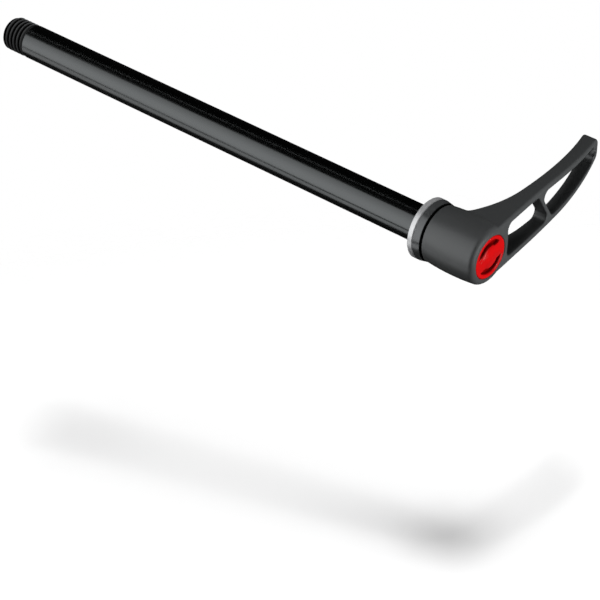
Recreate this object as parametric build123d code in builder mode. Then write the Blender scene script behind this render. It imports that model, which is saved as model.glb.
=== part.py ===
from build123d import *
import math
import os

# Bicycle thru axle with a pull-out indexing lever.
# Millimetres. The axle lies along Y, with +Y towards the lever, and the arm of the lever points to -X.
# The origin is the centre of the washer's clamp face, the face that bears on the bicycle frame.

# Shank and thread
shank_dia = 12.0
axle_length = 185.0
thread_length = 9.0
relief_width = 1.0
relief_depth = 0.3
end_chamfer = 0.9
bore_dia = 7.0
bore_stop = 12.0
drill_point_angle = 118.0

# Flange and thrust washer
flange_dia = 20.2
flange_taper = 0.4
flange_front_break = 0.5
flange_thickness = 3.0
washer_thickness = 2.0
washer_clearance = 0.05
journal_dia = 12.6
journal_setback = 0.1
edge_break = 0.25

# Teeth on the axle's head and in the tooth ring
tooth_count = 24
head_root_dia = 11.6
tooth_height = 0.8
tooth_root_width = 1.0
tooth_tip_width = 0.5
tooth_clearance = 0.1
ring_dia = 16.0
ring_length = 4.5

# Lever hub
hub_gap = 0.4
hub_root_dia = 19.0
hub_belly_dia = 20.0
hub_end_dia = 18.8
hub_length = 19.1
hub_rim_radius = 2.1
lip_thickness = 1.0
lip_clearance = 0.4
seat_clearance = 0.15
chamber_dia = 13.4

# Stub, spring, plate and screw
stub_dia = 9.8
stub_length = 9.65
wire_dia = 0.8
spring_dia = 11.6
spring_turns = 4
spring_end_gap = 0.05
plate_thickness = 1.0
plate_side_gap = 0.3
screw_dia = 6.0
screw_clearance = 0.05
plate_hole_clearance = 0.2
screw_length = 10.0
screw_tip_room = 1.0
screw_head_dia = 10.0
screw_head_height = 1.6
screw_socket_width = 4.0
screw_socket_depth = 2.0

# Cap
cap_dia = 14.8
cap_thickness = 2.0
cap_recess = 0.1
cap_edge_round = 0.6
cap_rim_width = 1.4
cap_boss_dia = 7.4
cap_bar_width = 5.0
cap_bar_turn = 13.0
cap_pocket_depth = 1.1
cap_pocket_draft = 25.0
cap_skirt_depth = 1.4
cap_skirt_wall = 0.8
cap_skirt_clearance = 0.05

# Lever arm as seen along the axle, measured from the axle's axis
arm_root_start = 2.0
arm_reach = 72.5
arm_shoulder_drop = 1.1
arm_tip_half_height = 3.6
arm_parallel_length = 20.0
arm_tip_corner = 2.6

# Lever arm as seen from above: depths are measured inboard from the hub's outer face
arm_flat_length = 40.0
arm_flat_fall = 4.05
arm_tip_fall = 11.3
arm_tip_thickness = 5.8
arm_waist = 26.0
arm_waist_depth = 8.25
arm_root_depth = 17.7
arm_edge_round = 0.9
arm_hub_fillet = 4.0

# Windows in the arm
rail_height = 2.25
rail_tip_height = 1.4
window_start = 10.2
window_tip_wall = 4.0
window_corner = 2.2
web_thickness = 1.5
web_centre = 33.0
web_slant = 33.0
window_edge_round = 0.5

# Groove that runs out of the outer window towards the tip
runout_length = 2.6
runout_depth = 2.0
runout_start_height = 3.6
runout_end_height = 1.6
runout_corner = 0.5

# Places along the axle that follow from the sizes above
flange_face = washer_thickness + flange_thickness
hub_start = flange_face + hub_gap
ring_end = hub_start + ring_length
head_end = ring_end - seat_clearance
chamber_start = ring_end + lip_thickness
stub_end = head_end + stub_length
plate_end = stub_end + plate_thickness
hub_face = hub_start + hub_length
cap_face = hub_face - cap_recess
cap_seat = cap_face - cap_thickness

shank_radius = shank_dia / 2
journal_radius = journal_dia / 2
bore_radius = bore_dia / 2
head_root_radius = head_root_dia / 2
ring_tip_radius = head_root_radius + tooth_clearance
stub_radius = stub_dia / 2
lip_radius = stub_radius + lip_clearance
chamber_radius = chamber_dia / 2
screw_radius = screw_dia / 2
hub_root_radius = hub_root_dia / 2
hub_belly_radius = hub_belly_dia / 2
hub_end_radius = hub_end_dia / 2
arm_half_height = hub_root_radius - arm_shoulder_drop
window_end = arm_reach - window_tip_wall
flat_end = (-arm_flat_length, hub_face - arm_flat_fall)
outer_tip = (-arm_reach, hub_face - arm_tip_fall)

os.makedirs("parts", exist_ok=True)


def drill_point(radius):
    """Depth of the cone that a twist drill leaves at the bottom of a blind hole."""
    return radius / math.tan(math.radians(drill_point_angle / 2))


def tooth(side_clearance):
    """Adds one tooth to the sketch, along local X from the root circle, grown by a clearance."""
    root_half = tooth_root_width / 2 + side_clearance
    tip_half = tooth_tip_width / 2 + side_clearance
    foot = 2 * tooth_clearance
    height = tooth_height + side_clearance
    Polygon(
        (-foot, -root_half), (0, -root_half), (height, -tip_half),
        (height, tip_half), (0, root_half), (-foot, root_half),
        align=None,
    )


def arm_outline(inset, tip_inset):
    """Adds the arm as seen along the axle to the sketch, its long edges moved inwards by the insets."""
    root = (-arm_root_start, arm_half_height - inset)
    shoulder = (-arm_parallel_length, arm_half_height - inset)
    tip = (-arm_reach, arm_tip_half_height - tip_inset)
    with BuildLine() as upper_half:
        Line(root, shoulder)
        TangentArc(shoulder, tip, tangent=(-1, 0))
        Polyline(tip, (-arm_reach, 0), (-arm_root_start, 0), root)
    make_face(upper_half.edges())
    mirror(about=Plane.XZ)


def outer_face_at(reach):
    """Where the arm's outer face is along the axle, at a reach on its curved stretch."""
    slope = arm_flat_fall / arm_flat_length
    span = arm_reach - arm_flat_length
    bend = (arm_tip_fall - arm_flat_fall - slope * span) / span**2
    past = reach - arm_flat_length
    return hub_face - arm_flat_fall - slope * past - bend * past**2


# Axle: a turned bar with its thread, bore, flange, toothed head and stub
thread_end = -axle_length
relief_end = thread_end + thread_length
relief_radius = shank_radius - relief_depth
with BuildPart() as axle:
    with BuildSketch(Plane.XY):
        with BuildLine():
            Polyline(
                (0, thread_end),
                (shank_radius - end_chamfer, thread_end),
                (shank_radius, thread_end + end_chamfer),
                (shank_radius, relief_end),
                (relief_radius, relief_end + relief_depth),
                (relief_radius, relief_end + relief_width),
                (shank_radius, relief_end + relief_width + relief_depth),
                (shank_radius, journal_setback),
                (journal_radius, journal_setback),
                (journal_radius, washer_thickness),
                (flange_dia / 2 - edge_break, washer_thickness),
                (flange_dia / 2, washer_thickness + edge_break),
                (flange_dia / 2 - flange_taper, flange_face - flange_front_break),
                (flange_dia / 2 - flange_taper - flange_front_break, flange_face),
                (stub_radius, flange_face),
                (stub_radius, stub_end),
                (0, stub_end),
                close=True,
            )
        make_face()
    revolve(axis=Axis.Y)
    with BuildSketch(Plane.XZ.offset(-flange_face)):
        Circle(head_root_radius)
        with PolarLocations(head_root_radius, tooth_count):
            tooth(0)
    extrude(amount=-(head_end - flange_face))
    with BuildSketch(Plane.XY):
        with BuildLine():
            Polyline(
                (0, thread_end),
                (bore_radius, thread_end),
                (bore_radius, -bore_stop),
                (0, -bore_stop + drill_point(bore_radius)),
                close=True,
            )
        make_face()
    revolve(axis=Axis.Y, mode=Mode.SUBTRACT)
    tapped_depth = screw_length - plate_thickness + screw_tip_room
    with BuildSketch(Plane.XY):
        with BuildLine():
            Polyline(
                (0, stub_end),
                (screw_radius, stub_end),
                (screw_radius, stub_end - tapped_depth),
                (0, stub_end - tapped_depth - drill_point(screw_radius)),
                close=True,
            )
        make_face()
    revolve(axis=Axis.Y, mode=Mode.SUBTRACT)
axle.part.label = "axle"
export_step(axle.part, "parts/axle.step")

# Thrust washer: a plain ring that turns on the axle's journal
with BuildPart() as thrust_washer:
    with BuildSketch(Plane.XZ):
        Circle(flange_dia / 2)
        Circle(journal_radius + washer_clearance, mode=Mode.SUBTRACT)
    extrude(amount=-washer_thickness)
    chamfer(thrust_washer.edges().filter_by(GeomType.CIRCLE), length=edge_break)
thrust_washer.part.label = "thrust_washer"
export_step(thrust_washer.part, "parts/thrust_washer.step")

# Tooth ring: pressed into the hub, with teeth that slide along those of the axle's head
with BuildPart() as tooth_ring:
    with BuildSketch(Plane.XZ.offset(-hub_start)):
        Circle(ring_dia / 2)
        Circle(ring_tip_radius, mode=Mode.SUBTRACT)
        with BuildSketch(Plane.XZ.offset(-hub_start), mode=Mode.SUBTRACT):
            with PolarLocations(head_root_radius, tooth_count):
                tooth(tooth_clearance)
    extrude(amount=-ring_length)
tooth_ring.part.label = "tooth_ring"
export_step(tooth_ring.part, "parts/tooth_ring.step")

# Groove cutter: a shallow wedge in the arm's outer face, deepest at the window and narrowing to the tip
runout_end = window_end + runout_length
with BuildPart() as runout:
    with BuildSketch(Plane.XZ.offset(-hub_face)) as groove:
        with BuildLine():
            Polyline(
                (-window_end + window_corner, runout_start_height / 2),
                (-runout_end, runout_end_height / 2),
                (-runout_end, -runout_end_height / 2),
                (-window_end + window_corner, -runout_start_height / 2),
                close=True,
            )
        make_face()
        fillet(groove.vertices().group_by(Axis.X)[0], radius=runout_corner)
    extrude(amount=hub_length)
    with BuildSketch(Plane.XY.offset(-arm_half_height)):
        with BuildLine():
            Polyline(
                (-runout_end, outer_face_at(runout_end)),
                (-window_end + window_corner, outer_face_at(window_end) - runout_depth),
                (-window_end + window_corner, hub_face),
                (-runout_end, hub_face),
                close=True,
            )
        make_face()
    extrude(amount=2 * arm_half_height, mode=Mode.INTERSECT)

# Lever: a forged hub with a tapered arm that curves inboard, and a slanted web between two windows
with BuildPart() as lever:
    with BuildSketch(Plane.XZ.offset(-hub_face)) as outline:
        arm_outline(0, 0)
        fillet(outline.vertices().group_by(Axis.X)[0], radius=arm_tip_corner)
    extrude(amount=hub_length)
    with BuildSketch(Plane.XY.offset(-arm_half_height)):
        with BuildLine():
            flat = Line((0, hub_face), flat_end)
            TangentArc(flat_end, outer_tip, tangent=flat % 1)
            waist = (-arm_waist, hub_face - arm_waist_depth)
            inner_tip = (-arm_reach, outer_tip[1] - arm_tip_thickness)
            root = (0, hub_face - arm_root_depth)
            TangentArc(waist, inner_tip, tangent=(-1, 0))
            TangentArc(waist, root, tangent=(1, 0))
            Line(outer_tip, inner_tip)
            Line(root, (0, hub_face))
        make_face()
    extrude(amount=2 * arm_half_height, mode=Mode.INTERSECT)
    arm_edges = lever.edges().filter_by_position(Axis.X, -2 * arm_reach, -hub_belly_radius)
    fillet(arm_edges, radius=arm_edge_round)
    with BuildSketch(Plane.XY) as hub_profile:
        with BuildLine():
            hub_foot = (hub_root_radius, hub_start)
            hub_brim = (hub_end_radius, hub_face)
            Polyline(hub_foot, (0, hub_start), (0, hub_face), hub_brim)
            ThreePointArc(hub_foot, (hub_belly_radius, hub_start + hub_length / 2), hub_brim)
        make_face()
        fillet(hub_profile.vertices().group_by(Axis.Y)[-1].sort_by(Axis.X)[-1], radius=hub_rim_radius)
    revolve(axis=Axis.Y)
    root_seam = lever.edges(Select.NEW).filter_by_position(Axis.Y, hub_start, hub_face - arm_flat_fall)
    fillet(root_seam, radius=arm_hub_fillet)
    with BuildSketch(Plane.XZ.offset(-hub_face)) as windows:
        arm_outline(rail_height, rail_tip_height)
        with Locations((-window_start, 0)):
            Rectangle(arm_reach, hub_belly_dia, align=(Align.MIN, Align.CENTER), mode=Mode.SUBTRACT)
        with Locations((-window_end, 0)):
            Rectangle(arm_reach, hub_belly_dia, align=(Align.MAX, Align.CENTER), mode=Mode.SUBTRACT)
        with Locations((-web_centre, 0)):
            Rectangle(web_thickness, 2 * hub_belly_dia, rotation=-web_slant, mode=Mode.SUBTRACT)
        corners = windows.vertices().filter_by(lambda v: abs(v.X + arm_parallel_length) > edge_break)
        fillet(corners, radius=window_corner)
    extrude(amount=hub_length, mode=Mode.SUBTRACT)
    fillet(lever.edges(Select.LAST).filter_by(Axis.Y, reverse=True), radius=window_edge_round)
    add(runout.part, mode=Mode.SUBTRACT)
    with BuildSketch(Plane.XY):
        with BuildLine():
            Polyline(
                (0, hub_start),
                (ring_dia / 2, hub_start),
                (ring_dia / 2, ring_end),
                (lip_radius, ring_end),
                (lip_radius, chamber_start),
                (chamber_radius, chamber_start),
                (chamber_radius, cap_seat),
                (cap_dia / 2, cap_seat),
                (cap_dia / 2, hub_face),
                (0, hub_face),
                close=True,
            )
        make_face()
    revolve(axis=Axis.Y, mode=Mode.SUBTRACT)
lever.part.label = "lever"
export_step(lever.part, "parts/lever.step")

# Spring: a coil with flat ends, between the hub's lip and the plate
spring_low = chamber_start + spring_end_gap
spring_high = stub_end - spring_end_gap
spring_length = spring_high - spring_low
with BuildPart() as spring:
    with BuildLine():
        coil = Helix(
            pitch=spring_length / spring_turns,
            height=spring_length,
            radius=spring_dia / 2,
            center=(0, spring_low, 0),
            direction=(0, 1, 0),
        )
    with BuildSketch(Plane(origin=coil @ 0, z_dir=coil % 0)):
        Circle(wire_dia / 2)
    sweep(path=coil, is_frenet=True)
    split(bisect_by=Plane.XZ.offset(-spring_low), keep=Keep.BOTTOM)
    split(bisect_by=Plane.XZ.offset(-spring_high), keep=Keep.TOP)
spring.part.label = "spring"
export_step(spring.part, "parts/spring.step")

# Spring washer: the plate that the spring bears against
with BuildPart() as spring_washer:
    with BuildSketch(Plane.XZ.offset(-stub_end)):
        Circle(chamber_radius - plate_side_gap)
        Circle(screw_radius + plate_hole_clearance, mode=Mode.SUBTRACT)
    extrude(amount=-plate_thickness)
spring_washer.part.label = "spring_washer"
export_step(spring_washer.part, "parts/spring_washer.step")

# Retaining screw: a low head with a hexagon socket
with BuildPart() as retaining_screw:
    with BuildSketch(Plane.XZ.offset(-plate_end)):
        Circle(screw_head_dia / 2)
    extrude(amount=-screw_head_height)
    chamfer(retaining_screw.edges().sort_by(Axis.Y)[-1:], length=edge_break)
    with BuildSketch(Plane.XZ.offset(-plate_end)):
        Circle(screw_radius - screw_clearance)
    extrude(amount=screw_length)
    chamfer(retaining_screw.edges().sort_by(Axis.Y)[:1], length=2 * edge_break)
    with BuildSketch(Plane.XZ.offset(-plate_end - screw_head_height)):
        RegularPolygon(screw_socket_width / 2, side_count=6, major_radius=False)
    extrude(amount=screw_socket_depth, mode=Mode.SUBTRACT)
retaining_screw.part.label = "retaining_screw"
export_step(retaining_screw.part, "parts/retaining_screw.step")

# Cap: a moulded plug with a rim, a boss and a bar between two curved pockets, and a snap skirt below
cap_radius = cap_dia / 2
skirt_outer = chamber_radius - cap_skirt_clearance
with BuildPart() as cap:
    with BuildSketch(Plane.XY):
        with BuildLine():
            Polyline(
                (0, cap_seat),
                (skirt_outer - cap_skirt_wall, cap_seat),
                (skirt_outer - cap_skirt_wall, cap_seat - cap_skirt_depth),
                (skirt_outer, cap_seat - cap_skirt_depth),
                (skirt_outer, cap_seat),
                (cap_radius, cap_seat),
                (cap_radius, cap_face),
                (0, cap_face),
                close=True,
            )
        make_face()
    revolve(axis=Axis.Y)
    fillet(cap.edges().filter_by(GeomType.CIRCLE).sort_by(Axis.Y)[-1:], radius=cap_edge_round)
    with BuildSketch(Plane.XZ.offset(-cap_face)):
        Circle(cap_radius - cap_rim_width)
        Circle(cap_boss_dia / 2, mode=Mode.SUBTRACT)
        Rectangle(cap_dia, cap_bar_width, rotation=-cap_bar_turn, mode=Mode.SUBTRACT)
    extrude(amount=cap_pocket_depth, taper=cap_pocket_draft, mode=Mode.SUBTRACT)
cap.part.label = "cap"
export_step(cap.part, "parts/cap.step")
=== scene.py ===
# %% [markdown]
# A bicycle thru axle is the long bar that holds a wheel in its fork or frame. One end is threaded, and the
# other carries a flange, a loose washer and a lever that is pulled out, turned and dropped back on its teeth.
# This lesson dresses a finished CAD model of it.

# %% Load the CAD frame
import math

import bmesh
import bpy
from mathutils import Matrix, Vector


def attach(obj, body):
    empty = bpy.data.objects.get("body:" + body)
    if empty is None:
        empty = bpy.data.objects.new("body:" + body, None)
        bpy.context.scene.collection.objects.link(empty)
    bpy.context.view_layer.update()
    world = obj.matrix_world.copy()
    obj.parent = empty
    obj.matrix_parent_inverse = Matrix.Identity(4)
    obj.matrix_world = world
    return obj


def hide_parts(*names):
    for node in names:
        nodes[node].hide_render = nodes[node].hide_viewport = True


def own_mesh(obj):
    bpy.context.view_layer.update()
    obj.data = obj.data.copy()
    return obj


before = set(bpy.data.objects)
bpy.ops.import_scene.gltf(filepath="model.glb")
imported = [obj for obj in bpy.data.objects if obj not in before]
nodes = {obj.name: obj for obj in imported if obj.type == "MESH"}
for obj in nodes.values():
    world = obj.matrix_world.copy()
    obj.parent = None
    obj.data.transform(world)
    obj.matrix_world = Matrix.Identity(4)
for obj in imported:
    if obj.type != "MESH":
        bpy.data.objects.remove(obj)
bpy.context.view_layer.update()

for name in sorted(nodes):
    print("CAD node", name, len(nodes[name].data.polygons), "triangles")

# %% [markdown]
# Everything on a turned part is a circle round one line, so all its pieces share one way of counting round.
# Ninety-six steps divide evenly into 24 teeth with four corners each. Starting half a step round puts the
# corners of a tooth evenly on both sides of its middle, and lets separate skins meet point on point.

# %% Counting round the axle
MM = 0.001
MICRON = 0.001 * MM
TEETH = 24
CORNERS = 4
STEPS = TEETH * CORNERS
STEP = 2 * math.pi / STEPS


def on_ring(radius, along, index):
    """The point of a ring round the axle, in metres, from millimetres and a step number."""
    angle = (index + 0.5) * STEP
    return Vector((radius * math.sin(angle), along, radius * math.cos(angle))) * MM


print(STEPS, "steps of", round(math.degrees(STEP), 3), "degrees")

# %% [markdown]
# A lathe turns a profile into a solid. The same is done here in mesh code: each pair of numbers is a radius
# and a place along the axle, each pair becomes a ring of points, and neighbouring rings are joined by faces.
# A pair with no radius becomes one point, so the bottom of a drilled hole closes in a fan. Blender's Screw
# modifier could do this too, but rings made by hand can be joined to other skins later without a seam.

# %% A lathe for the turned pieces
WELD = 0.002 * MM


def turned(mesh_maker, profile, closed=False):
    """Adds the skin of a turned profile to a bmesh."""
    rings = []
    for radius, along in profile:
        count = STEPS if radius > 0 else 1
        rings.append([mesh_maker.verts.new(on_ring(radius, along, i)) for i in range(count)])
    pairs = list(zip(rings, rings[1:]))
    if closed:
        pairs.append((rings[-1], rings[0]))
    for first, second in pairs:
        for i in range(STEPS):
            corners = [first[i % len(first)], first[(i + 1) % len(first)]]
            corners += [second[(i + 1) % len(second)], second[i % len(second)]]
            mesh_maker.faces.new(list(dict.fromkeys(corners)))


def finished_mesh(mesh_maker, name, sharp_degrees=30):
    """Merges doubles, turns the faces outwards and shades the mesh smooth between its sharp edges."""
    bmesh.ops.remove_doubles(mesh_maker, verts=mesh_maker.verts, dist=WELD)
    bmesh.ops.recalc_face_normals(mesh_maker, faces=mesh_maker.faces)
    open_edges = sum(1 for edge in mesh_maker.edges if len(edge.link_faces) != 2)
    mesh = bpy.data.meshes.new(name)
    mesh_maker.to_mesh(mesh)
    mesh_maker.free()
    mesh.shade_smooth()
    mesh.set_sharp_from_angle(angle=math.radians(sharp_degrees))
    print(name, "has", len(mesh.polygons), "faces and", open_edges, "open edges")
    return mesh


def placed(mesh, name):
    """An object at the origin that shows the mesh."""
    piece = bpy.data.objects.new(name, mesh)
    bpy.context.scene.collection.objects.link(piece)
    return piece


# %% [markdown]
# Shader and geometry trees are both built node by node, so two small helpers serve them all. One feeds a
# socket, with a link if it is given another socket and with a plain value if not. The other adds a node, sets
# its options and feeds its inputs.

# %% Helpers for node trees
def feed(tree, socket, value):
    """Links a socket to another one, or sets it to a plain value."""
    if isinstance(value, bpy.types.NodeSocket):
        tree.links.new(value, socket)
    else:
        socket.default_value = value


def add_node(tree, kind, feeds=None, **options):
    """Adds a node with its options, and feeds its inputs by name or number."""
    made = tree.nodes.new(kind)
    for option, value in options.items():
        setattr(made, option, value)
    for key, value in (feeds or {}).items():
        feed(tree, made.inputs[key], value)
    return made


def reckon(tree, operation, *values):
    """The output of a Math node."""
    feeds = dict(enumerate(values))
    return add_node(tree, "ShaderNodeMath", feeds, operation=operation).outputs[0]


# %% [markdown]
# Each finish starts from the same few nodes: object coordinates, stretched by a Mapping node, drive a noise
# that stands for what the tool left behind. The noise moves the roughness a little and lifts the surface by
# a few microns through a Bump node. Nearly all of a noise lies between 0.3 and 0.7, so that range is spread
# over the roughness. Colours that are the same all over sit on the shader's own sockets. The coordinates are
# metres, so a scale of 5000 gives grains of a fifth of a millimetre.

# %% A helper for finishes
EVEN = (1, 1, 1)
NOISE_LOW, NOISE_HIGH = 0.3, 0.7


def finish_of(name, stretch, scale, rough, depth, **sockets):
    """A Principled finish whose roughness and fine relief follow a stretched noise."""
    material = bpy.data.materials.new(name)
    material.use_nodes = True
    tree = material.node_tree
    shader = tree.nodes["Principled BSDF"]
    place = add_node(tree, "ShaderNodeTexCoord").outputs["Object"]
    mapped = add_node(tree, "ShaderNodeMapping", {"Vector": place, "Scale": stretch})
    grain = add_node(tree, "ShaderNodeTexNoise", {
        "Vector": mapped.outputs["Vector"], "Scale": scale, "Detail": 3.0, "Roughness": 0.6,
    })
    spread = add_node(tree, "ShaderNodeMapRange", {
        "Value": grain.outputs["Fac"], "From Min": NOISE_LOW, "From Max": NOISE_HIGH,
        "To Min": rough[0], "To Max": rough[1],
    })
    relief = add_node(tree, "ShaderNodeBump", {
        "Height": grain.outputs["Fac"], "Distance": depth, "Strength": 1.0,
    })
    feed(tree, shader.inputs["Roughness"], spread.outputs["Result"])
    feed(tree, shader.inputs["Normal"], relief.outputs["Normal"])
    for socket, value in sockets.items():
        shader.inputs[socket.replace("_", " ")].default_value = value
    print("finish", name)
    return material


# %% [markdown]
# The bar is aluminium, polished and then anodised black. The dye sits in the metal's own clear oxide, so the
# surface still mirrors like metal, only much darker. A dark metallic colour gives that, where a black paint
# would give weaker reflections. The noise is stretched along the bar, as polishing leaves it.

# %% Black anodised bar
gloss_black = finish_of(
    "gloss_black", stretch=(900, 25, 900), scale=1.0, rough=(0.16, 0.24), depth=1 * MICRON,
    Base_Color=(0.125, 0.132, 0.134, 1), Metallic=1.0,
)

# %% [markdown]
# The thread is cut after polishing and anodised as it comes off the tool, so it is duller than the bar. The
# marks run round it, which means that the noise changes fast along Y and slowly the other way. The colour
# follows the distance from the axle: grey at the crests and a deep black at the roots, which is painted shade
# in the roots of the thread.

# %% Dull black thread
def off_axis(material):
    """The distance from the axle and the place along it, in metres, in a finish's own tree."""
    tree = material.node_tree
    place = tree.nodes["Texture Coordinate"].outputs["Object"]
    x, y, z = add_node(tree, "ShaderNodeSeparateXYZ", {"Vector": place}).outputs
    squares = reckon(tree, "ADD", reckon(tree, "MULTIPLY", x, x), reckon(tree, "MULTIPLY", z, z))
    return reckon(tree, "SQRT", squares), y


def share_of(tree, value, none_at, all_at):
    """How far a value has come from one place to another, between nothing and one."""
    feeds = {"Value": value, "From Min": none_at, "From Max": all_at}
    return add_node(tree, "ShaderNodeMapRange", feeds).outputs["Result"]


def paint_shade(material, share, unshaded_colour, shade_colour):
    """Paints shade: as a share goes from nothing to one, the colour turns to the second, darker one and the
    shine dulls.
    """
    tree = material.node_tree
    shader = tree.nodes["Principled BSDF"]
    ramp = add_node(tree, "ShaderNodeValToRGB", {"Fac": share})
    ramp.color_ramp.elements[0].color = unshaded_colour
    ramp.color_ramp.elements[1].color = shade_colour
    shine = shader.inputs["Specular IOR Level"]
    kept = reckon(tree, "MULTIPLY", reckon(tree, "SUBTRACT", 1.0, share), shine.default_value)
    feed(tree, shine, kept)
    feed(tree, shader.inputs["Base Color"], ramp.outputs["Color"])


dull_black = finish_of(
    "dull_black", stretch=(60, 6000, 60), scale=1.0, rough=(0.40, 0.50), depth=2 * MICRON,
    Specular_IOR_Level=0.05,
)
# painted shade: the roots of the thread are coloured deep black, the crests stay grey
root = share_of(dull_black.node_tree, off_axis(dull_black)[0], none_at=5.9 * MM, all_at=5.5 * MM)
paint_shade(dull_black, root, unshaded_colour=(0.108, 0.111, 0.113, 1), shade_colour=(0.002, 0.002, 0.002, 1))

# %% [markdown]
# The lever is forged, blasted and anodised in a dark satin grey. Blasting leaves an even, fine, matt grain
# with no direction, so its noise isn't stretched. So fine a grain scatters about as much light as it mirrors,
# and a Metallic value of one half stands for that.

# %% Satin grey lever
satin_grey = finish_of(
    "satin_grey", stretch=EVEN, scale=4200.0, rough=(0.36, 0.46), depth=9 * MICRON,
    Base_Color=(0.128, 0.134, 0.136, 1), Metallic=0.5,
)

# %% [markdown]
# The loose washer is bare metal, faced and turned bright. Its tool marks are rings, so the noise reads the
# distance from the axle as well as the place along it. A vector of those two makes lines that follow both the
# flat faces and the rim. The marks scatter part of the light, so it is only about half metallic too.

# %% Bright turned washer
turned_silver = finish_of(
    "turned_silver", stretch=EVEN, scale=1.0, rough=(0.28, 0.44), depth=4 * MICRON,
    Base_Color=(0.94, 0.95, 0.965, 1), Metallic=0.55,
)


def follow_the_lathe(material, per_metre):
    """Makes a finish's noise change only with the radius and the place along the axle."""
    tree = material.node_tree
    radius, along = (reckon(tree, "MULTIPLY", value, per_metre) for value in off_axis(material))
    marks = add_node(tree, "ShaderNodeCombineXYZ", {"X": radius, "Y": along})
    feed(tree, tree.nodes["Mapping"].inputs["Vector"], marks.outputs["Vector"])


follow_the_lathe(turned_silver, per_metre=5000.0)

# %% [markdown]
# The flange and the head behind it are black like the bar, but left as the lathe made them. The same helper
# draws their marks, and a higher roughness spreads the reflection of the studio. Towards the narrow gap
# between the flange and the lever the colour falls to a deep black, which is painted shade in that gap.

# %% Black turned flange
GAP_AT = 4.9 * MM
turned_black = finish_of(
    "turned_black", stretch=EVEN, scale=1.0, rough=(0.18, 0.27), depth=3 * MICRON, Metallic=0.6,
)
follow_the_lathe(turned_black, per_metre=4500.0)
tree = turned_black.node_tree
# painted shade: the flange turns deep black and dull towards the gap at the lever
from_gap = reckon(tree, "ABSOLUTE", reckon(tree, "SUBTRACT", off_axis(turned_black)[1], GAP_AT))
gap_shade = share_of(tree, from_gap, none_at=0.6 * MM, all_at=0.3 * MM)
paint_shade(turned_black, gap_shade, unshaded_colour=(0.165, 0.172, 0.177, 1), shade_colour=(0.004, 0.004, 0.004, 1))

# %% [markdown]
# The small steel pieces inside the hub are seen only when the lever is pulled out. They are plain ground
# steel, and share one finish whose marks run round the axle. The spring is bright drawn wire.

# %% Steel inside the hub
ground_steel = finish_of(
    "ground_steel", stretch=EVEN, scale=1.0, rough=(0.28, 0.42), depth=3 * MICRON,
    Base_Color=(0.50, 0.50, 0.49, 1), Metallic=1.0,
)
follow_the_lathe(ground_steel, per_metre=4000.0)
spring_wire = finish_of(
    "spring_wire", stretch=EVEN, scale=2500.0, rough=(0.22, 0.34), depth=2 * MICRON,
    Base_Color=(0.60, 0.59, 0.56, 1), Metallic=1.0,
)

# %% [markdown]
# The cap is a glossy red moulding. Moulded plastic is smooth with a faint unevenness, like orange peel, so
# its noise is coarse and very shallow. In the pockets and along the gap at the edge the red turns dark and
# loses its shine, by depth and by radius: painted shade in the pockets and the gap.

# %% Red moulded cap
glossy_red = finish_of("glossy_red", stretch=EVEN, scale=900.0, rough=(0.12, 0.20), depth=4 * MICRON)
tree = glossy_red.node_tree
radius, along = off_axis(glossy_red)
# painted shade: the cap goes dark and dull in its pockets, by depth, and along the gap at its edge, by radius
pocket = share_of(tree, along, none_at=24.38 * MM, all_at=23.82 * MM)
gap = share_of(tree, radius, none_at=6.95 * MM, all_at=7.25 * MM)
cap_shade = reckon(tree, "MAXIMUM", pocket, gap)
paint_shade(glossy_red, cap_shade, unshaded_colour=(0.62, 0.005, 0.006, 1), shade_colour=(0.17, 0.001, 0.001, 1))

# %% [markdown]
# Geometry Nodes suit a shape that follows a rule. A tree is a group with named inputs. A modifier on an empty
# mesh runs it, each input is set by its socket's identifier, and new_from_object takes the evaluated result
# as a plain mesh. The trees here end in Realize Instances and Set Material, so nothing in them needs the
# modifier afterwards, and the object that carried it is removed.

# %% Helpers for geometry trees
SOCKET_KINDS = {float: "NodeSocketFloat", int: "NodeSocketInt"}


def new_tree(name, sizes):
    """A geometry tree with one named input for each size, the input node's sockets and each identifier."""
    tree = bpy.data.node_groups.new(name, "GeometryNodeTree")
    tree.interface.new_socket("Geometry", in_out="OUTPUT", socket_type="NodeSocketGeometry")
    identifiers = {}
    for label, value in sizes.items():
        socket = tree.interface.new_socket(label, in_out="INPUT", socket_type=SOCKET_KINDS[type(value)])
        identifiers[label] = socket.identifier
    return tree, tree.nodes.new("NodeGroupInput").outputs, identifiers


def end_tree(tree, geometry, material):
    """Closes a tree with Realize Instances and Set Material."""
    real = add_node(tree, "GeometryNodeRealizeInstances", {"Geometry": geometry})
    dressed = add_node(tree, "GeometryNodeSetMaterial", {
        "Geometry": real.outputs["Geometry"], "Material": material,
    })
    add_node(tree, "NodeGroupOutput", {"Geometry": dressed.outputs["Geometry"]})


def grown(tree, identifiers, sizes):
    """Runs a tree with these sizes and returns its result as a plain mesh."""
    carrier = placed(bpy.data.meshes.new(tree.name), tree.name)
    modifier = carrier.modifiers.new(tree.name, "NODES")
    modifier.node_group = tree
    for label, value in sizes.items():
        modifier[identifiers[label]] = value
    graph = bpy.context.evaluated_depsgraph_get()
    mesh = bpy.data.meshes.new_from_object(carrier.evaluated_get(graph), depsgraph=graph)
    bpy.data.objects.remove(carrier)
    print(tree.name, "grew", len(mesh.polygons), "faces")
    return mesh


# %% [markdown]
# The bar is made of several skins that meet ring on ring: the thread, the toothed head and three stretches of
# lathe work. The sizes where they meet are named once, in millimetres, and each skin takes them from here.

# %% Sizes where the bar's skins meet
SHANK_RADIUS = 6.0
FREE_END, LEAD_RADIUS = -185.0, 5.1
THREAD_LENGTH, GROOVE_RADIUS = 9.6, 5.6
FLANGE_FACE, FACE_RADIUS = 5.0, 9.2
HEAD_END, STUB_RADIUS = 9.75, 4.9
print("thread from", FREE_END, "to", FREE_END + THREAD_LENGTH, "mm")
print("head from", FLANGE_FACE, "to", HEAD_END, "mm")

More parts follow.
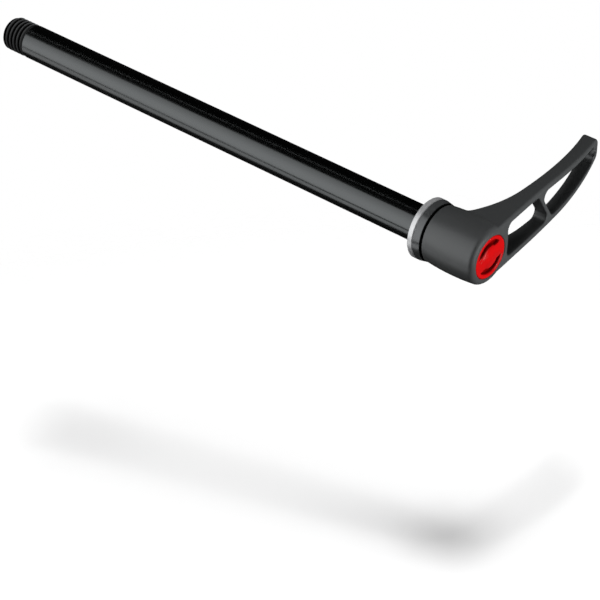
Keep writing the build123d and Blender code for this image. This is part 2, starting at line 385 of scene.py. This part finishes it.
# %% [markdown]
# A screw thread is a ramp wrapped round a bar. A flat grid is the ramp: across it is once round the bar, and
# up it is along the bar. Each column starts a little higher than the last, so that after one turn the grid
# has risen by one pitch and meets itself. The rows then follow the crest and the root exactly, and the crest
# stays a clean line. Rows past the ends are pressed onto the end rings, which are those of the lathe.

# %% A tree for the thread
def grid_place(tree):
    """The place of each point of a grid of one by one, counted from its corner."""
    place = add_node(tree, "GeometryNodeInputPosition").outputs["Position"]
    flat = add_node(tree, "ShaderNodeSeparateXYZ", {"Vector": place}).outputs
    return reckon(tree, "ADD", flat["X"], 0.5), reckon(tree, "ADD", flat["Y"], 0.5)


thread_sizes = {
    "Start": FREE_END * MM, "Length": THREAD_LENGTH * MM, "Pitch": 1.75 * MM,
    "Crest Radius": SHANK_RADIUS * MM, "Depth": 1.0 * MM, "Flank Rise": 1.52 * MM, "Crest Softness": 0.5 * MM,
    "Start Radius": LEAD_RADIUS * MM, "End Radius": GROOVE_RADIUS * MM, "Run-out": 0.8 * MM,
    "Steps": STEPS, "Rows": 130, "Rows per Pitch": 20,
}
tree, size, thread_ids = new_tree("thread_skin", thread_sizes)
grid = add_node(tree, "GeometryNodeMeshGrid", {
    "Size X": 1.0, "Size Y": 1.0,
    "Vertices X": reckon(tree, "ADD", size["Steps"], 1),
    "Vertices Y": reckon(tree, "ADD", size["Rows"], 1),
})
turn, height = grid_place(tree)
row = reckon(tree, "MULTIPLY", height, size["Rows"])
rise = reckon(tree, "SUBTRACT", reckon(tree, "DIVIDE", row, size["Rows per Pitch"]), 1.0)
climb = reckon(tree, "MULTIPLY", reckon(tree, "ADD", rise, turn), size["Pitch"])
along = reckon(tree, "MINIMUM", reckon(tree, "MAXIMUM", climb, 0.0), size["Length"])

# %% [markdown]
# The cut of the thread is a V of 60 degrees with a narrow flat at the root. The crest is rounded, as
# anodising and use leave it, so it always finds a highlight, and a smooth maximum of the flank and the crest
# gives that. At the free end the crest is held down by a 45 degree lead, which helps the nut find the thread.
# At the other end the cut fades into the relief groove, as it does where a die stops.

# %% The thread's cut, lead and run-out
CREST_SHARE = 0.18
phase = reckon(tree, "FRACT", reckon(tree, "ADD", rise, 2.0))
off_root = reckon(tree, "MULTIPLY", reckon(tree, "ABSOLUTE", reckon(tree, "SUBTRACT", phase, 0.5)), 2.0)
off_crest = reckon(tree, "SUBTRACT", 1.0 - CREST_SHARE, off_root)
straight = reckon(tree, "MULTIPLY", off_crest, size["Flank Rise"])
flank = reckon(tree, "SMOOTH_MAX", straight, 0.0, size["Crest Softness"])
cut = reckon(tree, "MINIMUM", flank, size["Depth"])
threaded = reckon(tree, "SUBTRACT", size["Crest Radius"], cut)
lead = reckon(tree, "ADD", size["Start Radius"], along)
led = reckon(tree, "MINIMUM", threaded, lead)
fade = add_node(tree, "ShaderNodeMapRange", {
    "Value": reckon(tree, "SUBTRACT", size["Length"], along), "From Max": size["Run-out"],
    "To Min": size["End Radius"], "To Max": led,
}, interpolation_type="SMOOTHSTEP")
radius = fade.outputs["Result"]

# %% [markdown]
# Each point of the grid now has a radius, a place along the bar and a share of a turn. Sine and cosine wrap
# the grid round the bar. Its two long edges meet there, and merging by distance sews them together.

# %% The thread wrapped round the bar
angle = reckon(tree, "ADD", reckon(tree, "MULTIPLY", turn, 2 * math.pi), STEP / 2)
spot = add_node(tree, "ShaderNodeCombineXYZ", {
    "X": reckon(tree, "MULTIPLY", radius, reckon(tree, "SINE", angle)),
    "Y": reckon(tree, "ADD", size["Start"], along),
    "Z": reckon(tree, "MULTIPLY", radius, reckon(tree, "COSINE", angle)),
})
wrapped = add_node(tree, "GeometryNodeSetPosition", {
    "Geometry": grid.outputs["Mesh"], "Position": spot.outputs["Vector"],
})
closed = add_node(tree, "GeometryNodeMergeByDistance", {
    "Geometry": wrapped.outputs["Geometry"], "Distance": WELD,
})
end_tree(tree, closed.outputs["Geometry"], dull_black)
thread_mesh = grown(tree, thread_ids, thread_sizes)

# %% [markdown]
# Behind the flange sits the toothed head, which the lever's ring slides along. It shows when the lever is
# pulled out. One grid of four rows makes it: a ring on the flange's face, the outline of the teeth at the
# bottom, the same outline at the top, and a ring on the stub. The outline gives each tooth four corners.

# %% A tree for the toothed head
head_sizes = {
    "Low": FLANGE_FACE * MM, "High": HEAD_END * MM,
    "Outer Ring": FACE_RADIUS * MM, "Inner Ring": STUB_RADIUS * MM,
    "Root Radius": 5.8 * MM, "Tooth Height": 0.8 * MM, "Root Width": 1.0 * MM, "Tip Width": 0.5 * MM,
    "Teeth": TEETH,
}
tree, size, head_ids = new_tree("toothed_head", head_sizes)
corner_count = reckon(tree, "MULTIPLY", size["Teeth"], CORNERS)
grid = add_node(tree, "GeometryNodeMeshGrid", {
    "Size X": 1.0, "Size Y": 1.0, "Vertices X": reckon(tree, "ADD", corner_count, 1), "Vertices Y": 4,
})
turn, height = grid_place(tree)
column = reckon(tree, "ROUND", reckon(tree, "MULTIPLY", turn, corner_count))
off_middle = reckon(tree, "SUBTRACT", height, 0.5)
is_high = reckon(tree, "GREATER_THAN", off_middle, 0.0)
is_tooth = reckon(tree, "LESS_THAN", reckon(tree, "ABSOLUTE", off_middle), 0.25)
along = add_node(tree, "ShaderNodeMapRange", {
    "Value": is_high, "To Min": size["Low"], "To Max": size["High"],
}).outputs["Result"]

# %% [markdown]
# A corner's number within its tooth says whether it is at the tip and on which side. It is placed in the
# tooth's own directions, outwards and sideways.

# %% The corners of the teeth
shifted = reckon(tree, "ADD", column, CORNERS / 2)
tooth = reckon(tree, "FLOOR", reckon(tree, "DIVIDE", shifted, CORNERS))
corner = reckon(tree, "SUBTRACT", reckon(tree, "MODULO", shifted, CORNERS), (CORNERS - 1) / 2)
is_tip = reckon(tree, "LESS_THAN", reckon(tree, "ABSOLUTE", corner), 1.0)
width = add_node(tree, "ShaderNodeMapRange", {
    "Value": is_tip, "To Min": size["Root Width"], "To Max": size["Tip Width"],
}).outputs["Result"]
sideways = reckon(tree, "MULTIPLY", reckon(tree, "SIGN", corner), reckon(tree, "MULTIPLY", width, 0.5))
outwards = reckon(tree, "MULTIPLY_ADD", is_tip, size["Tooth Height"], size["Root Radius"])
tooth_angle = reckon(tree, "DIVIDE", reckon(tree, "MULTIPLY", tooth, 2 * math.pi), size["Teeth"])

# %% [markdown]
# On the two rings the same column is just a step round a circle, with no sideways part. A Map Range whose
# value is nothing or one picks between two values, here between the ring's and the tooth's.

# %% The head's rings and its points
ring = add_node(tree, "ShaderNodeMapRange", {
    "Value": is_high, "To Min": size["Outer Ring"], "To Max": size["Inner Ring"],
}).outputs["Result"]
ring_angle = reckon(tree, "MULTIPLY", reckon(tree, "ADD", column, 0.5), STEP)


def either(on_ring_value, on_tooth_value):
    """A value for the rings and another for the teeth."""
    feeds = {"Value": is_tooth, "To Min": on_ring_value, "To Max": on_tooth_value}
    return add_node(tree, "ShaderNodeMapRange", feeds).outputs["Result"]


angle = either(ring_angle, tooth_angle)
reach = either(ring, outwards)
aside = either(0.0, sideways)
sine = reckon(tree, "SINE", angle)
cosine = reckon(tree, "COSINE", angle)
forward = reckon(tree, "MULTIPLY", reach, cosine)
spot = add_node(tree, "ShaderNodeCombineXYZ", {
    "X": reckon(tree, "MULTIPLY_ADD", aside, cosine, reckon(tree, "MULTIPLY", reach, sine)),
    "Y": along,
    "Z": reckon(tree, "MULTIPLY_ADD", reckon(tree, "MULTIPLY", aside, -1.0), sine, forward),
})
wrapped = add_node(tree, "GeometryNodeSetPosition", {
    "Geometry": grid.outputs["Mesh"], "Position": spot.outputs["Vector"],
})
closed = add_node(tree, "GeometryNodeMergeByDistance", {
    "Geometry": wrapped.outputs["Geometry"], "Distance": WELD,
})
end_tree(tree, closed.outputs["Geometry"], turned_black)
head_mesh = grown(tree, head_ids, head_sizes)

# %% [markdown]
# The rest of the bar is lathe work in three stretches: the bore with the free end, the relief groove with the
# shank and the flange, and the stub with its tapped hole. The sizes are those of the CAD model. Each pair is
# a radius and a place along the axle, and a pair that two profiles share has a name.

# %% Profiles of the bar
BORE_RADIUS, BORE_BREAK = 3.5, 0.3
JOURNAL_RADIUS, TAPPED_RADIUS = 6.3, 3.0
GROOVE_TOP = (5.95, -174.72)
JOURNAL_END = (JOURNAL_RADIUS, 2)
bore_profile = [
    (0, -9.9), (BORE_RADIUS, -12), (BORE_RADIUS, FREE_END + BORE_BREAK),
    (BORE_RADIUS + BORE_BREAK, FREE_END), (LEAD_RADIUS, FREE_END),
]
groove_profile = [(GROOVE_RADIUS, FREE_END + THREAD_LENGTH), (GROOVE_RADIUS, -175.05), GROOVE_TOP]
shank_profile = [
    GROOVE_TOP, (SHANK_RADIUS, -174.6), (SHANK_RADIUS, 0.1), (JOURNAL_RADIUS, 0.1), JOURNAL_END,
]
flange_profile = [JOURNAL_END, (9.85, 2), (10.1, 2.25), (9.7, 4.5), (FACE_RADIUS, FLANGE_FACE)]
stub_profile = [
    (STUB_RADIUS, HEAD_END), (STUB_RADIUS, 19.2), (4.7, 19.4),
    (3.2, 19.4), (TAPPED_RADIUS, 19.2), (TAPPED_RADIUS, 9.4), (0, 7.6),
]
print("the flange is", 2 * max(flange_profile)[0], "mm across")

# %% [markdown]
# The thread and the toothed head fill the gaps between the profiles, ring on ring, and merging doubles makes
# one closed bar. The skins are added in the order of their three finishes, so a face's number tells which one
# it gets. The bar replaces the CAD bar, which has a plain cylinder where the thread is.

# %% The axle bar
bar = bmesh.new()
turned(bar, bore_profile)
turned(bar, shank_profile)
finish_starts = [len(bar.faces)]
turned(bar, flange_profile)
turned(bar, stub_profile)
bar.from_mesh(head_mesh)
finish_starts.append(len(bar.faces))
turned(bar, groove_profile)
bar.from_mesh(thread_mesh)
for number, face in enumerate(bar.faces):
    face.material_index = sum(1 for start in finish_starts if number >= start)
axle_bar = placed(finished_mesh(bar, "axle_bar"), "axle_bar")
for finish in (gloss_black, turned_black, dull_black):
    axle_bar.data.materials.append(finish)
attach(axle_bar, "axle")
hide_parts("axle")

# %% [markdown]
# The washer stays still against the bicycle while the flange turns on it. It is a plain ring with broken
# edges, made on the same lathe as a closed profile. A film of grease, two hundredths of a millimetre, keeps
# it off the flange.

# %% The clamp washer
WASHER_BORE, WASHER_RIM, WASHER_TOP = 6.35, 10.1, 2.0
EDGE_BREAK, FILM = 0.25, 0.02
ring_maker = bmesh.new()
turned(ring_maker, [
    (WASHER_BORE, EDGE_BREAK), (WASHER_BORE + EDGE_BREAK, 0),
    (WASHER_RIM - EDGE_BREAK, 0), (WASHER_RIM, EDGE_BREAK), (WASHER_RIM, WASHER_TOP - EDGE_BREAK),
    (WASHER_RIM - EDGE_BREAK + FILM, WASHER_TOP - FILM),
    (WASHER_BORE + EDGE_BREAK - FILM, WASHER_TOP - FILM), (WASHER_BORE, WASHER_TOP - EDGE_BREAK),
], closed=True)
clamp_washer = placed(finished_mesh(ring_maker, "clamp_washer"), "clamp_washer")
clamp_washer.data.materials.append(turned_silver)
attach(clamp_washer, "washer")
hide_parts("thrust_washer")

# %% [markdown]
# Inside the hub a compression spring pulls the lever back onto its teeth. A spring follows a path, so a tree
# bends a straight curve into a coil and sweeps a circle along it. Half a turn at each end lies flat against
# its seat. When the lever is pulled out the coil is pressed together.

# %% A tree for the spring
FLAT_SHARE = 0.12
spring_sizes = {
    "Low": 11.37 * MM, "High": 18.93 * MM, "Coil Radius": 5.8 * MM, "Wire Radius": 0.4 * MM,
    "Turns": 4.0, "Points": 200, "Round": 12,
}
tree, size, spring_ids = new_tree("coil_spring", spring_sizes)
line = add_node(tree, "GeometryNodeCurvePrimitiveLine")
fine = add_node(tree, "GeometryNodeResampleCurve", {"Curve": line.outputs["Curve"], "Count": size["Points"]})
share = add_node(tree, "GeometryNodeSplineParameter").outputs["Factor"]
angle = reckon(tree, "MULTIPLY", reckon(tree, "MULTIPLY", share, size["Turns"]), 2 * math.pi)
height = add_node(tree, "ShaderNodeMapRange", {
    "Value": share, "From Min": FLAT_SHARE, "From Max": 1 - FLAT_SHARE,
    "To Min": size["Low"], "To Max": size["High"],
}).outputs["Result"]
spot = add_node(tree, "ShaderNodeCombineXYZ", {
    "X": reckon(tree, "MULTIPLY", size["Coil Radius"], reckon(tree, "COSINE", angle)),
    "Y": height,
    "Z": reckon(tree, "MULTIPLY", size["Coil Radius"], reckon(tree, "SINE", angle)),
})
coiled = add_node(tree, "GeometryNodeSetPosition", {
    "Geometry": fine.outputs["Curve"], "Position": spot.outputs["Vector"],
})
wire = add_node(tree, "GeometryNodeCurvePrimitiveCircle", {
    "Resolution": size["Round"], "Radius": size["Wire Radius"],
})
swept = add_node(tree, "GeometryNodeCurveToMesh", {
    "Curve": coiled.outputs["Geometry"], "Profile Curve": wire.outputs["Curve"], "Fill Caps": True,
})
end_tree(tree, swept.outputs["Mesh"], spring_wire)
spring_maker = bmesh.new()
spring_maker.from_mesh(grown(tree, spring_ids, spring_sizes))
coil_spring = placed(finished_mesh(spring_maker, "coil_spring", sharp_degrees=50), "coil_spring")
coil_spring.data.materials.append(spring_wire)
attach(coil_spring, "spring")
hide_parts("spring")
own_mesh(coil_spring)

# %% [markdown]
# The lever and the cap already have their right shape in the CAD model. Its mesh comes as loose triangles, so
# a copy is merged and shaded smooth between its sharp edges, and the copy stands for the node.

# %% The lever and its cap
SHARP_FROM = 28


def smooth_copy(node_name, piece_name, body, finish):
    """A merged, smooth copy of a CAD node that stands for it."""
    maker = bmesh.new()
    maker.from_mesh(nodes[node_name].data)
    piece = placed(finished_mesh(maker, piece_name, sharp_degrees=SHARP_FROM), piece_name)
    piece.data.materials.clear()
    piece.data.materials.append(finish)
    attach(piece, body)
    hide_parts(node_name)


smooth_copy("lever", "lever_arm", "lever", satin_grey)
smooth_copy("cap", "red_cap", "lever", glossy_red)

# %% [markdown]
# The tooth ring, the spring's plate and the retaining screw are right as they are. They keep their CAD meshes
# and only get the steel finish.

# %% The steel nodes
for name in ("tooth_ring", "spring_washer", "retaining_screw"):
    nodes[name].data.materials.clear()
    nodes[name].data.materials.append(ground_steel)
    print(name, "is ground steel")

# %% [markdown]
# The photograph looks down at the lever's end from the front right. The camera looks along a line that passes
# the clamp face a little to the left of it and below, so that the long bar fills the square frame. The
# angles, the lens and the distances were solved from the outline in the photograph, with the 12 mm bar as the
# scale.

# %% The camera
FOCAL_PIXELS, PICTURE_PIXELS, SENSOR_MM = 2249.429, 600, 36
AWAY, ASIDE, BELOW = 0.692896, 0.039128, 0.022362
azimuth = math.radians(130.989)
elevation = math.radians(36.232)
back = Vector((
    math.sin(azimuth) * math.cos(elevation), -math.cos(azimuth) * math.cos(elevation), math.sin(elevation),
))
right = (-back).cross(Vector((0, 0, 1))).normalized()
up = right.cross(-back)
lens_data = bpy.data.cameras.new("photo_camera")
lens_data.sensor_width = SENSOR_MM
lens_data.lens = SENSOR_MM * FOCAL_PIXELS / PICTURE_PIXELS
camera = bpy.data.objects.new("photo_camera", lens_data)
turned_to = Matrix((right, up, back)).transposed().to_4x4()
camera.matrix_world = Matrix.Translation(back * AWAY - right * ASIDE - up * BELOW) @ turned_to
bpy.context.scene.collection.objects.link(camera)
bpy.context.scene.camera = camera
print("camera at", [round(value, 3) for value in camera.location], "lens", round(lens_data.lens, 1), "mm")

# %% [markdown]
# The studio is white. Light Path tells rays apart: the camera and mirrors see the world at a strength of one,
# which is plain white, while the light that it throws on the object stays low. So the background can be
# white without more light on the object.

# %% The white world
def seen_directly(tree):
    """One for rays from the camera, from mirrors and through glass, and nothing for other rays."""
    path = add_node(tree, "ShaderNodeLightPath").outputs
    mirrored = reckon(tree, "ADD", path["Is Glossy Ray"], path["Is Transmission Ray"])
    return reckon(tree, "MINIMUM", reckon(tree, "ADD", path["Is Camera Ray"], mirrored), 1.0)


def chosen(tree, share, first, second):
    """The output of a Mix Shader node."""
    return add_node(tree, "ShaderNodeMixShader", {0: share, 1: first, 2: second}).outputs["Shader"]


WHITE = (1, 1, 1, 1)
SHOWN, THROWN = 1.0, 0.08
world = bpy.data.worlds.new("white_studio")
world.use_nodes = True
bpy.context.scene.world = world
tree = world.node_tree
thrown = add_node(tree, "ShaderNodeBackground", {"Color": WHITE, "Strength": THROWN}).outputs[0]
shown = add_node(tree, "ShaderNodeBackground", {"Color": WHITE, "Strength": SHOWN}).outputs[0]
feed(tree, tree.nodes["World Output"].inputs["Surface"], chosen(tree, seen_directly(tree), thrown, shown))
world.cycles.sampling_method = "NONE"
print("world shown at", SHOWN, "and thrown at", THROWN)

# %% [markdown]
# In the photograph the axle hangs above its floor with the threaded end raised. Here the axle lies level, as
# the CAD has it, so the floor is tipped under it instead. Its slopes along X and Y and its height at the
# clamp face were found from where the shadow falls in the photograph. The second row is a place under the
# middle of the bar.

# %% The tipped floor
TIP_X, TIP_Y, DROP = 0.22, 0.297, -0.1226
UNDER_X, UNDER_Y = -0.02, -0.08
FLOOR_REACH = 1


def floor_point(x, y):
    """A point of the tipped floor."""
    return Vector((x, y, DROP + TIP_X * x + TIP_Y * y))


floor_mesh = bpy.data.meshes.new("floor")
floor_signs = ((-1, -1), (1, -1), (1, 1), (-1, 1))
floor_corners = [floor_point(x * FLOOR_REACH, y * FLOOR_REACH) for x, y in floor_signs]
floor_mesh.from_pydata(floor_corners, [], [(0, 1, 2, 3)])
floor = placed(floor_mesh, "floor")
floor.visible_glossy = False
print("floor", -DROP, "m below the clamp face")

# %% [markdown]
# The floor is a diffuse white that takes the shadow, with a little white of its own. It has more of that
# under the middle of the bar, so that the shadow is pale there and deep under the lever, as in the
# photograph. Rays that aren't the camera's find it dim, so it throws no glare up at the object. Away from the
# axle it fades into the white world, and seen from below it is clear, so there is no edge in the picture.

# %% The floor's finish
GLOW_MOST, GLOW_LEAST = 0.5, 0.03
GLOW_NEAR, GLOW_FAR = 0.025, 0.108
FADE_NEAR, FADE_FAR = 0.22, 0.4
DIM_GREY = (0.15, 0.15, 0.15, 1)
PALE_GREY = (0.9, 0.9, 0.9, 1)
white_floor = bpy.data.materials.new("white_floor")
white_floor.use_nodes = True
tree = white_floor.node_tree
dim = add_node(tree, "ShaderNodeBsdfDiffuse", {"Color": DIM_GREY}).outputs[0]
lit = add_node(tree, "ShaderNodeBsdfDiffuse", {"Color": PALE_GREY}).outputs[0]
glow = add_node(tree, "ShaderNodeEmission", {"Color": WHITE, "Strength": 1.0}).outputs[0]
clear = add_node(tree, "ShaderNodeBsdfTransparent").outputs[0]
away = add_node(tree, "ShaderNodeVectorMath", {
    0: add_node(tree, "ShaderNodeTexCoord").outputs["Object"], 1: floor_point(UNDER_X, UNDER_Y),
}, operation="DISTANCE").outputs["Value"]
glow_share = add_node(tree, "ShaderNodeMapRange", {
    "Value": away, "From Min": GLOW_NEAR, "From Max": GLOW_FAR, "To Min": GLOW_MOST, "To Max": GLOW_LEAST,
}, interpolation_type="SMOOTHSTEP").outputs["Result"]
top_side = chosen(tree, seen_directly(tree), dim, chosen(tree, glow_share, lit, glow))
faded = add_node(tree, "ShaderNodeMapRange", {
    "Value": away, "From Min": FADE_NEAR, "From Max": FADE_FAR,
}, interpolation_type="SMOOTHSTEP").outputs["Result"]
below = add_node(tree, "ShaderNodeNewGeometry").outputs["Backfacing"]
shown_floor = chosen(tree, reckon(tree, "MAXIMUM", faded, below), top_side, clear)
feed(tree, tree.nodes["Material Output"].inputs["Surface"], shown_floor)
floor_mesh.materials.append(white_floor)
print("finish", white_floor.name)

# %% [markdown]
# Three soft lamps light the axle. A broad one at the side fills in the front of the bar, one overhead draws
# the arm's top and the crests of the thread, and one low beyond the lever lights the cap and the faces round
# it. Two oval ones high above light the floor only and cast the shadow: the small one gives its core and the
# wide one its soft edge. They are long along the view, where the floor is seen at a slant and blur looks
# shorter. Mirrors see none of the lamps.

# %% The lamps
def soft_lamp(name, place, aim, width, height, radiance):
    """A lamp that faces a point, with the power of a rectangle of this size and radiance."""
    data = bpy.data.lights.new(name, "AREA")
    data.shape = "RECTANGLE"
    data.size = width
    data.size_y = height
    data.energy = radiance * math.pi * width * height
    lamp = bpy.data.objects.new(name, data)
    lamp.location = place
    lamp.rotation_euler = (Vector(place) - Vector(aim)).to_track_quat("Z", "Y").to_euler()
    lamp.visible_camera = False
    lamp.visible_glossy = False
    bpy.context.scene.collection.objects.link(lamp)
    print(name, round(data.energy, 2), "W")
    return lamp


side_lamp = soft_lamp(
    "side_lamp", place=(0.65, -0.35, 0.22), aim=(0, -0.05, 0), width=1.0, height=1.0, radiance=0.4,
)
top_lamp = soft_lamp(
    "top_lamp", place=(0, -0.05, 1.1), aim=(-0.02, -0.05, 0), width=0.4, height=0.4, radiance=10.0,
)
end_lamp = soft_lamp(
    "end_lamp", place=(-0.45, 0.85, -0.15), aim=(0, 0, 0), width=0.4, height=0.4, radiance=24.0,
)
HIGH = (UNDER_X, UNDER_Y, 5.0)
LOW = (UNDER_X, UNDER_Y, 0)
floor_lamp = soft_lamp("floor_lamp", HIGH, LOW, width=1.6, height=0.6, radiance=48.04)
halo_lamp = soft_lamp("halo_lamp", HIGH, LOW, width=3.4, height=1.6, radiance=10.36)
for lamp in (floor_lamp, halo_lamp):
    lamp.data.shape = "ELLIPSE"
    lamp.rotation_euler = (0, 0, math.atan2(back.y, back.x))

# %% [markdown]
# Light linking keeps each lamp to its own. A collection that only excludes the floor serves the three object
# lamps, both for what they light and for what can block them, since the end lamp stands below the floor.

# %% Which lamp lights what
without_floor = bpy.data.collections.new("without_floor")
without_floor.objects.link(floor)
without_floor.collection_objects[0].light_linking.link_state = "EXCLUDE"
for lamp in (side_lamp, top_lamp, end_lamp):
    lamp.light_linking.receiver_collection = without_floor
    lamp.light_linking.blocker_collection = without_floor
only_floor = bpy.data.collections.new("only_floor")
only_floor.objects.link(floor)
for lamp in (floor_lamp, halo_lamp):
    lamp.light_linking.receiver_collection = only_floor
print("three lamps leave out the floor, and two light nothing else")

# %% [markdown]
# A polished bar shows the whole room, so a white room would turn it grey all over. Photographers hang black
# cloth round such a bar and leave open only what they want mirrored. A sheet of it here is a piece of a tube
# round the bar. Each end has its own pair of angles, in degrees from +X towards +Z, so an edge can be
# slanted. Only mirror rays see the sheets.

# %% A way to hang sheets round the bar
CLOTH_RADIUS, CLOTH_LOW, CLOTH_HIGH = 0.13, -0.5, 0.3


def hung(name, material, points, faces):
    """A sheet that only mirror rays see."""
    mesh = bpy.data.meshes.new(name)
    mesh.from_pydata(points, [], faces)
    mesh.materials.append(material)
    sheet = placed(mesh, name)
    for kind in ("camera", "diffuse", "transmission", "volume_scatter", "shadow"):
        setattr(sheet, "visible_" + kind, False)
    print(name, len(faces), "faces")


def round_the_bar(low_degrees, high_degrees, count, low=CLOTH_LOW, high=CLOTH_HIGH, radius=CLOTH_RADIUS):
    """The points and faces of a sheet round the axle, with its own pair of angles at each end."""
    points = []
    for i in range(count + 1):
        for along, (first, last) in ((low, low_degrees), (high, high_degrees)):
            angle = math.radians(first + (last - first) * i / count)
            points.append((radius * math.cos(angle), along, radius * math.sin(angle)))
    faces = [(2 * i, 2 * i + 1, 2 * i + 3, 2 * i + 2) for i in range(count)]
    return points, faces


# %% [markdown]
# The cloth leaves the camera's side open, and its lower edge is slanted because the band on the bar narrows
# towards the lever. A slit overhead makes the faint light line along the top, and a narrow strip the thin
# dark line along the band. A piece in front darkens the rounded rim of the hub, and a disc closes the far
# end.

# %% Black cloth for the reflections
CLOTH_TOP, SLIT_FRONT, SLIT_BACK = 68, 105.5, 106.5
FRONT_STARTS = 0.05
cloth_black = bpy.data.materials.new("cloth_black")
cloth_black.use_nodes = True
shader = cloth_black.node_tree.nodes["Principled BSDF"]
shader.inputs["Base Color"].default_value = (0.02, 0.02, 0.02, 1)
shader.inputs["Roughness"].default_value = 1.0
shader.inputs["Specular IOR Level"].default_value = 0.0
overhead = round_the_bar((CLOTH_TOP, SLIT_FRONT), (CLOTH_TOP, SLIT_FRONT), count=8)
hung("cloth_overhead", cloth_black, *overhead)
hung("cloth_round_the_back", cloth_black, *round_the_bar((SLIT_BACK, 270), (SLIT_BACK, 340), count=32))
hung("cloth_strip", cloth_black, *round_the_bar((-50, -42), (-13, -5), count=2))
in_front = round_the_bar((-68, CLOTH_TOP), (-20, CLOTH_TOP), count=30, low=FRONT_STARTS)
hung("cloth_front", cloth_black, *in_front)
far_ring = [on_ring(CLOTH_RADIUS / MM, CLOTH_LOW / MM, i) for i in range(STEPS)]
hung("cloth_far_end", cloth_black, far_ring, [tuple(range(STEPS))])

# %% [markdown]
# What is left open shows a white card. A lamp lights such a card most in its middle, so the band on the bar
# is brightest there too and falls off softly to both sides. The card's strength follows its own height: it is
# greatest level with the bar, and less by the square of the height above or below.

# %% A white card for the reflections
CARD_RADIUS, CARD_MIDDLE = 0.16, 0.006
CARD_PEAK, CARD_LOSS = 1.15, 0.6
CARD_EDGES = (-85, 85)
card_white = bpy.data.materials.new("card_white")
card_white.use_nodes = True
tree = card_white.node_tree
place = add_node(tree, "ShaderNodeTexCoord").outputs["Object"]
level = add_node(tree, "ShaderNodeSeparateXYZ", {"Vector": place}).outputs["Z"]
off_level = reckon(tree, "DIVIDE", reckon(tree, "SUBTRACT", level, CARD_MIDDLE), CARD_RADIUS)
lost = reckon(tree, "MULTIPLY", reckon(tree, "MULTIPLY", off_level, off_level), CARD_LOSS)
strength = reckon(tree, "SUBTRACT", CARD_PEAK, lost)
shine = add_node(tree, "ShaderNodeEmission", {"Color": WHITE, "Strength": strength}).outputs["Emission"]
feed(tree, tree.nodes["Material Output"].inputs["Surface"], shine)
hung("card", card_white, *round_the_bar(CARD_EDGES, CARD_EDGES, count=40, radius=CARD_RADIUS))

# %% [markdown]
# Standard view keeps colours as they are written.

# %% Standard view
bpy.context.scene.view_settings.view_transform = "Standard"
